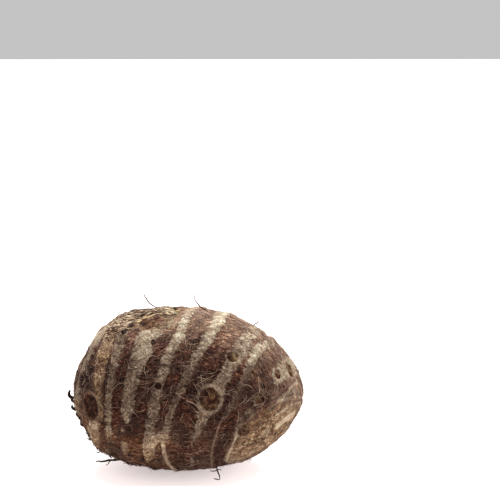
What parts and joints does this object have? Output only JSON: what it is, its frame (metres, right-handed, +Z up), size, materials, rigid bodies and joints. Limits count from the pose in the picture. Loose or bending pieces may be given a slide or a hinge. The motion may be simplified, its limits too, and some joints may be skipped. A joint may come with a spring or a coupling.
{
  "type": "taro root",
  "caption": "Egg-shaped taro corm lying on its side, with slanting leaf-scar rings, side buds, a blunt base scar and a slimmer growing tip.",
  "frame": {"origin": "under the middle of the corm's box, on the surface that it rests on", "axes": "+X along the length, towards the growing tip; +Z up; the side with the largest side bud faces -Y"},
  "size_m": [0.0924, 0.0652, 0.0656],
  "materials": {
    "skin": "dry matt bark-like skin, pale corky rings between dark brown mats of root fibre"
  },
  "bodies": {
    "root": {"corm": "skin"}
  },
  "joints": []
}
